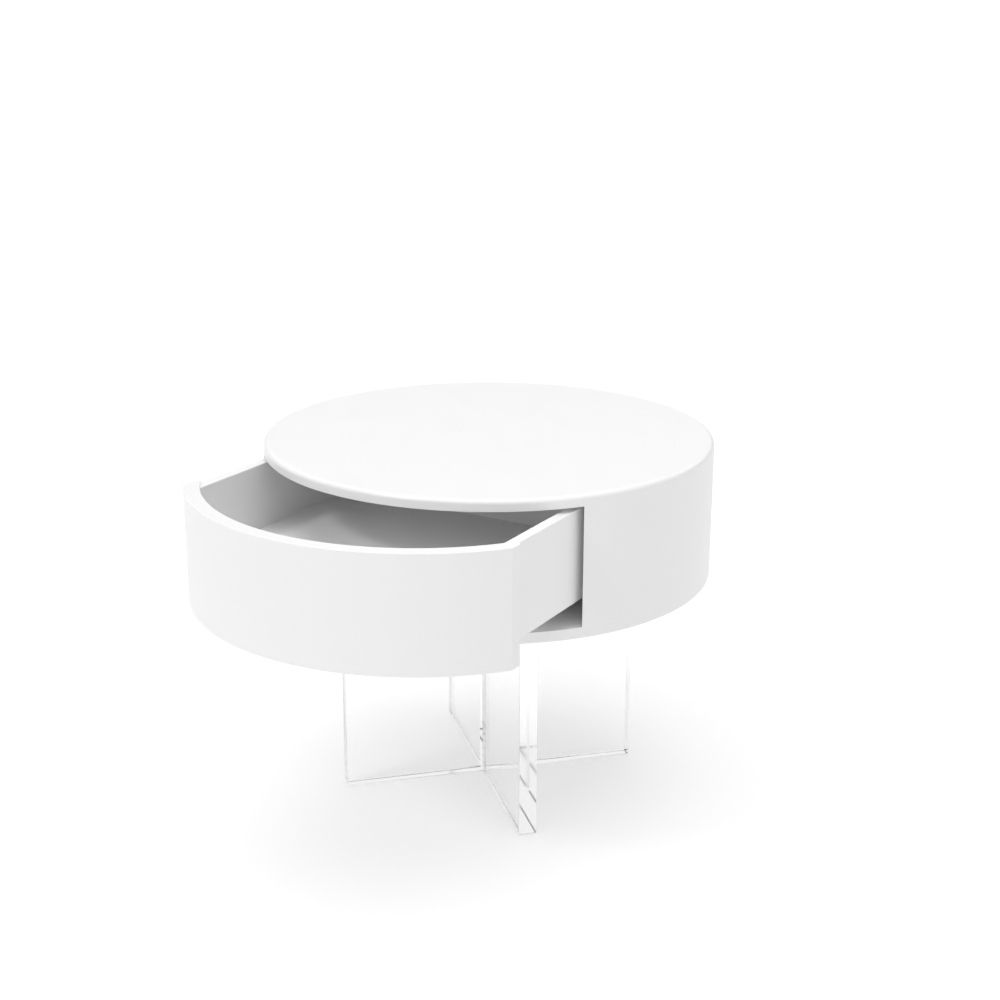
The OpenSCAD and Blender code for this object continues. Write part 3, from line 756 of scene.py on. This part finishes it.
low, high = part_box("bottom_panel")
bm = disc(drum_r, low.z + flush_gap, high.z)
under = [e for e in corner_edges(bm) if middle_of(e).z < low.z + near]
round_edges(bm, under, underside_edge)
piece("underside_board", bm, "cabinet", "white_lacquer", [outer_lacquer], "bottom_panel")
for name, body in (("bay_batten", "cabinet"), ("drawer_batten", "drawer")):
    for side in ("left", "right"):
        low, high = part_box(name + "_" + side)
        bm = board(low + Vector((0, 0, flush_gap)), high)
        round_edges(bm, bm.edges, batten_edge)
        piece(name + "_bar_" + side, bm, body, "white_lacquer", [inner_lacquer_with_painted_light], name + "_" + side)

# %% [markdown]
# Screws and dowels are small, but each keeps its own shape, because a reader may take the table
# apart. The measured model holds each kind in one node of separate solids. This helper welds a
# copy of such a node, walks from corner to corner to find each solid, and gives the solid's two
# ends. So every new screw goes exactly where the measured one is, with its head at the wider end.

# %% Places of the fasteners


def solids_of(node):
    """The corners of each separate solid in a node."""
    bm = bmesh.new()
    bm.from_mesh(frame["nodes"][node].data)
    bmesh.ops.remove_doubles(bm, verts=bm.verts, dist=same_place)
    left = set(bm.verts)
    solids = []
    for start in bm.verts:
        if start not in left:
            continue
        left.remove(start)
        found, front = [], [start]
        while front:
            v = front.pop()
            found.append(v.co.copy())
            others = [e.other_vert(v) for e in v.link_edges]
            fresh = [other for other in others if other in left]
            left.difference_update(fresh)
            front.extend(fresh)
        solids.append(found)
    bm.free()
    return solids


def ends_of(points):
    """The middles of a solid's wide and narrow end, and the radius at each."""
    low = Vector([min(p[i] for p in points) for i in range(3)])
    high = Vector([max(p[i] for p in points) for i in range(3)])
    axis = max(range(3), key=lambda i: high[i] - low[i])
    ends = []
    for level in (low[axis], high[axis]):
        centre = (low + high) / 2
        centre[axis] = level
        radius = max((p - centre).length for p in points if abs(p[axis] - level) < same_level)
        ends.append((radius, centre))
    ends.sort(key=lambda end: -end[0])
    return ends[0][1], ends[1][1], ends[0][0], ends[1][0]


def add(bm, made):
    """Add one mesh to another."""
    mesh = bpy.data.meshes.new("one")
    made.to_mesh(mesh)
    made.free()
    bm.from_mesh(mesh)
    bpy.data.meshes.remove(mesh)


def put(bm, made, start, end):
    """Add a mesh that was made upright on the origin, turned to run from start to end."""
    turn = (end - start).to_track_quat("Z", "X").to_matrix().to_4x4()
    made.transform(Matrix.Translation(start) @ turn)
    add(bm, made)


def spun(outline, steps):
    """A round solid, spun from its outline. An outline that ends where it starts makes a ring."""
    bm = bmesh.new()
    points = [bm.verts.new((r, 0, z)) for r, z in outline]
    for a, b in zip(points, points[1:]):
        bm.edges.new((a, b))
    bmesh.ops.spin(
        bm, geom=bm.verts[:] + bm.edges[:], cent=(0, 0, 0), axis=(0, 0, 1),
        angle=math.tau, steps=steps, use_merge=True)
    bmesh.ops.remove_doubles(bm, verts=bm.verts, dist=same_place)
    bmesh.ops.recalc_face_normals(bm, faces=bm.faces)
    return bm


print("screws in the underside", len(solids_of("bottom_screws")))

# %% [markdown]
# A screw's thread is a ridge that climbs as it turns. A small triangle is spun round the axis and
# lifted at each step, which draws the ridge, and its two ends are closed. The ridge is a closed
# solid of its own, sunk a little into the shank, so nothing has to be cut.

# %% Thread
thread_steps = 14
thread_sunk = 0.9
thread_peak = 0.35
thread_foot = 0.7


def add_thread(bm, root, crest, pitch, low_z, high_z):
    """A climbing ridge round a shank."""
    ridge = bmesh.new()
    sunk = root * thread_sunk
    corners = [(sunk, 0), (crest, pitch * thread_peak), (sunk, pitch * thread_foot)]
    ridge.faces.new([ridge.verts.new((r, 0, low_z + z)) for r, z in corners])
    turns = int((high_z - low_z) / pitch - thread_foot)
    bmesh.ops.spin(
        ridge, geom=ridge.faces[:] + ridge.edges[:] + ridge.verts[:],
        cent=(0, 0, 0), axis=(0, 0, 1), dvec=(0, 0, pitch / thread_steps),
        angle=turns * math.tau, steps=turns * thread_steps)
    rim = [e for e in ridge.edges if len(e.link_faces) == 1]
    bmesh.ops.holes_fill(ridge, edges=rim)
    bmesh.ops.recalc_face_normals(ridge, faces=ridge.faces)
    add(bm, ridge)


# %% [markdown]
# The recess for the driver starts as the flat face of the head. The triangles of that face become
# one face, it is inset, the corners of the inset are moved to the shape of the recess, and the
# face is pushed in. A wood screw takes a cross and a machine screw a hexagon.

# %% Recess in a head
round_sides = 24
cross_arm = 0.62
cross_waist = 0.26
arm_half_angle = 16
hexagon_reach = 0.44
recess_inset = 0.3
recess_taper = 0.8


def cross(turn):
    """How far a cross recess reaches at that angle in degrees, as a share of the head's radius."""
    return cross_waist if arm_half_angle < turn % 90 < 90 - arm_half_angle else cross_arm


def hexagon(turn):
    """The same for a hexagonal one."""
    return hexagon_reach * math.cos(math.radians(30)) / math.cos(math.radians(turn % 60 - 30))


def press_recess(bm, radius, depth, shape):
    """Press a recess of that shape into the face at the origin."""
    flat = [f for f in bm.faces if f.calc_center_median().z < cut_gap]
    inner = bmesh.ops.dissolve_faces(bm, faces=flat)["region"]
    bmesh.ops.inset_region(bm, faces=inner, thickness=radius * recess_inset)
    for v in inner[0].verts:
        turn = math.atan2(v.co.y, v.co.x)
        reach = radius * shape(math.degrees(turn) % 360)
        v.co = Vector((reach * math.cos(turn), reach * math.sin(turn), 0))
    pressed = bmesh.ops.extrude_discrete_faces(bm, faces=inner)["faces"][0]
    for v in pressed.verts:
        v.co = Vector((v.co.x * recess_taper, v.co.y * recess_taper, depth))


# %% [markdown]
# A wood screw has a head, a plain neck, a threaded shank and a point. In the boards its head is
# sunk and flush, and on the rails it is flat, so that the rail over it can pass.

# %% Wood screws
sunk_head_h = 0.0024
sunk_rim_h = 0.0002
flat_head_h = 0.0015
flat_rim_h = 0.0004
flat_share = 0.86
neck_share = 0.72
point_share = 1.7
pitch_share = 0.7
plain_share = 0.12
recess_share = 0.6


def screws(name, node, body, flush=True):
    """All the wood screws of one node."""
    head_h = sunk_head_h if flush else flat_head_h
    bm = bmesh.new()
    for points in solids_of(node):
        start, end, head, shank = ends_of(points)
        length = (end - start).length
        neck = shank * neck_share
        face = head if flush else head * flat_share
        outline = [(0, 0), (head, 0), (head, sunk_rim_h), (neck, head_h)]
        if not flush:
            outline = [(0, 0), (face, 0), (head, flat_rim_h), (head, head_h), (neck, head_h)]
        point_z = length - point_share * shank
        one = spun(outline + [(neck, point_z), (0, length)], round_sides)
        press_recess(one, face, head_h * recess_share, cross)
        add_thread(one, neck, shank, shank * pitch_share, head_h + length * plain_share, point_z)
        put(bm, one, start, end)
    piece(name, bm, body, "zinc_steel", [fittings["zinc_steel"]], node)


screws("underside_screws", "bottom_screws", "cabinet")
screws("batten_screws_in_bay", "bay_batten_screws", "cabinet")
screws("batten_screws_under_drawer", "drawer_batten_screws", "drawer")
screws("drawer_floor_screws", "drawer_bottom_screws", "drawer")
screws("rail_screws_in_bay", "cabinet_rail_screws", "cabinet", flush=False)
screws("rail_screws_under_drawer", "drawer_rail_screws", "drawer", flush=False)
screws("latch_fixing_screws", "latch_screws", "cabinet")

# %% [markdown]
# The clear base hangs on machine screws that turn into brass inserts in the panels' top edges.
# Through the acrylic one can see the fluted rings that grip the acrylic, with grooves between.
# The outline of an insert is spun, and then every second column of its rings is drawn in.

# %% Inserts
insert_bore_r = 0.00305
insert_rings = 3
ring_rise = 0.0006
ring_end = 0.0014
ring_fall = 0.0008
groove_share = 0.9
flute = 0.93
outside = 0.98


def fluted(bm, radius, every):
    """Draw in one column in so many of the corners that lie on the outside of a round solid."""
    for v in bm.verts:
        column = round(math.atan2(v.co.y, v.co.x) / math.tau * 2 * round_sides)
        if v.co.xy.length > radius * outside and column % every == 0:
            v.co.x *= flute
            v.co.y *= flute


bm = bmesh.new()
for points in solids_of("base_inserts"):
    start, end, wide, _ = ends_of(points)
    length, groove_r = (end - start).length, wide * groove_share
    outline = [(insert_bore_r, 0), (groove_r, 0)]
    for ring in range(insert_rings):
        z = length * ring / insert_rings
        next_z = z + length / insert_rings
        outline += [(wide, z + ring_rise), (wide, next_z - ring_end), (groove_r, next_z - ring_fall)]
    outline += [(groove_r, length), (insert_bore_r, length), (insert_bore_r, 0)]
    one = spun(outline, 2 * round_sides)
    fluted(one, wide, 2)
    put(bm, one, start, end)
piece("threaded_inserts", bm, "cabinet", "brass", [fittings["brass"]], "base_inserts")

# %% Machine screws
machine_head_h = 0.0033
machine_pitch = 0.001
machine_root = 0.82
machine_edge = 0.0006
tip_edge = 0.0008
tip_share = 0.8
hexagon_depth = 0.002
plain_end = 0.001

bm = bmesh.new()
for points in solids_of("base_screws"):
    start, end, head, shank = ends_of(points)
    length, root, face = (end - start).length, shank * machine_root, head - machine_edge
    outline = [
        (0, 0), (face, 0), (head, machine_edge), (head, machine_head_h), (root, machine_head_h),
        (root, length - tip_edge), (root * tip_share, length), (0, length)]
    one = spun(outline, round_sides)
    press_recess(one, face, hexagon_depth, hexagon)
    add_thread(one, root, shank, machine_pitch, machine_head_h + plain_end, length - plain_end)
    put(bm, one, start, end)
piece("machine_screws", bm, "cabinet", "zinc_steel", [fittings["zinc_steel"]], "base_screws")

# %% Washers
washer_edge = 0.0003

bm = bmesh.new()
for points in solids_of("base_washers"):
    low_z, high_z = min(p.z for p in points), max(p.z for p in points)
    middle = sum(points, Vector()) / len(points)
    wide = max((p - middle).xy.length for p in points)
    bore = min((p - middle).xy.length for p in points)
    t, face = high_z - low_z, wide - washer_edge
    outline = [
        (bore, 0), (face, 0), (wide, washer_edge), (wide, t - washer_edge), (face, t), (bore, t),
        (bore, 0)]
    one = spun(outline, 2 * round_sides)
    put(bm, one, Vector((middle.x, middle.y, low_z)), Vector((middle.x, middle.y, high_z)))
piece("broad_washers", bm, "cabinet", "zinc_steel", [fittings["zinc_steel"]], "base_washers")

# %% [markdown]
# Dowels are beech pins with flutes that let the glue spread and chamfered ends that find the hole.

# %% Dowels
pin_edge = 0.0008
pin_tip_share = 0.8

for name, node, body in (("drum_pins", "top_dowels", "cabinet"),
                         ("drawer_front_pins", "drawer_front_dowels", "drawer"),
                         ("drawer_back_pins", "drawer_back_dowels", "drawer")):
    bm = bmesh.new()
    for points in solids_of(node):
        start, end, wide, _ = ends_of(points)
        length, tip = (end - start).length, wide * pin_tip_share
        outline = [
            (0, 0), (tip, 0), (wide, pin_edge), (wide, length - pin_edge), (tip, length), (0, length)]
        one = spun(outline, 2 * round_sides)
        fluted(one, wide, 3)
        put(bm, one, start, end)
    piece(name, bm, body, "beech", [fittings["beech"]], node)

# %% [markdown]
# A rail is one strip of steel bent to a channel, so its long corners are round. The section is
# drawn once and pulled along the rail, and then the bent corners are bevelled. The cabinet's rail
# also turns in at the tips of its flanges, which keeps the balls in. The left rails are mirrored.

# %% Rails
sheet_t = 0.0012
lip_h = 0.0010
bend_out = 0.0011
bend_in = 0.0004


def rail(side, kind, body, web_inside, has_lips):
    """One rail, with its web on the inner or the outer side."""
    low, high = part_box(kind + "_rail_" + side)
    inner_x, outer_x = sorted((abs(low.x), abs(high.x)))
    web_x, tip_x = (inner_x, outer_x) if web_inside else (outer_x, inner_x)
    step = sheet_t if web_inside else -sheet_t
    under_z = high.z - sheet_t
    upper = [(web_x, 0), (web_x, high.z), (tip_x, high.z)]
    inner = [(tip_x, under_z), (web_x + step, under_z), (web_x + step, 0)]
    if has_lips:
        lip_z = under_z - lip_h
        inner[:1] = [(tip_x, lip_z), (tip_x - step, lip_z), (tip_x - step, under_z)]
    level = low.z + high.z
    half = [p for p in upper + inner if p[1] > 0]
    outline = half + [(x, level - z) for x, z in reversed(half)]
    bm = bmesh.new()
    sign = 1 if side == "right" else -1
    bm.faces.new([bm.verts.new((sign * x, low.y, z)) for x, z in outline])
    pull(bm, (0, high.y - low.y, 0))
    bmesh.ops.recalc_face_normals(bm, faces=bm.faces)
    long_edges = [e for e in corner_edges(bm) if along(e).y > straight]
    bends = [(e, abs(abs(middle_of(e).x) - web_x)) for e in long_edges]
    outer = [e for e, off in bends if e.is_convex and off < same_level]
    inside = [e for e, off in bends if not e.is_convex and off < 2 * sheet_t]
    round_edges(bm, outer, bend_out, segments=4)
    round_edges(bm, [e for e in inside if e.is_valid], bend_in, segments=2)
    piece(kind + "_channel_" + side, bm, body, "zinc_steel", [fittings["zinc_steel"]],
          kind + "_rail_" + side)


for side in ("left", "right"):
    rail(side, "cabinet", "cabinet", True, True)
    rail(side, "middle", "middle_rail_" + side + "_unit", True, False)
    rail(side, "drawer", "drawer", False, False)

# %% [markdown]
# The push latch's body stays as measured, a moulded block with a bore. Its plunger has a soft
# inner end, and the rubber tip that touches the drawer's back is domed, so both are spun from
# their outlines. The spring is one round wire in eight turns.

# %% Plunger and tip of the latch
plunger_edge = 0.0004
dome_h = 0.0016
dome_angles = (0.3, 0.6, 0.9, 1.2, math.pi / 2)

low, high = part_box("latch_plunger")
centre, bar_r, bar_l = (low + high) / 2, (high.x - low.x) / 2, high.y - low.y
outline = [(0, 0), (bar_r, 0), (bar_r, bar_l - plunger_edge), (bar_r - plunger_edge, bar_l), (0, bar_l)]
one = spun(outline, 2 * round_sides)
bm = bmesh.new()
put(bm, one, Vector((centre.x, low.y, centre.z)), Vector((centre.x, high.y, centre.z)))
piece("plunger_bar", bm, "push_plunger", "grey_plastic", [fittings["grey_plastic"]], "latch_plunger")

low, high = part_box("latch_tip")
centre, tip_r, tip_l = (low + high) / 2, (high.x - low.x) / 2, high.y - low.y
dome = [(tip_r * math.sin(t), tip_l - dome_h * (1 - math.cos(t))) for t in dome_angles]
one = spun([(0, 0), (tip_r, 0)] + dome[::-1] + [(0, tip_l)], 2 * round_sides)
bm = bmesh.new()
put(bm, one, Vector((centre.x, high.y, centre.z)), Vector((centre.x, low.y, centre.z)))
piece("rubber_tip", bm, "push_plunger", "soft_tip", [fittings["soft_tip"]], "latch_tip")

# %% Spring of the latch
wire_r = 0.00045
spring_turns = 8
turn_steps = 24
wire_sides = 12

low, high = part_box("latch_spring")
centre, spring_l = (low + high) / 2, high.y - low.y
coil_r, rise = (high.x - low.x) / 2 - wire_r, spring_l - 2 * wire_r
steps = spring_turns * turn_steps
bm = bmesh.new()
rings = []
for i in range(steps + 1):
    turn, wire_y = math.tau * i / turn_steps, low.y + wire_r + rise * i / steps
    ring = []
    for k in range(wire_sides):
        around = math.tau * k / wire_sides
        r = coil_r + wire_r * math.cos(around)
        ring.append(bm.verts.new((
            centre.x + r * math.cos(turn), wire_y + wire_r * math.sin(around),
            centre.z - r * math.sin(turn))))
    rings.append(ring)
for one, two in zip(rings, rings[1:]):
    for k in range(wire_sides):
        bm.faces.new((one[k - 1], one[k], two[k], two[k - 1]))
for end_ring in (rings[0], rings[-1]):
    bm.faces.new(end_ring)
spring = piece("coil_spring", bm, "cabinet", "zinc_steel", [fittings["zinc_steel"]], "latch_spring")
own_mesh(spring)
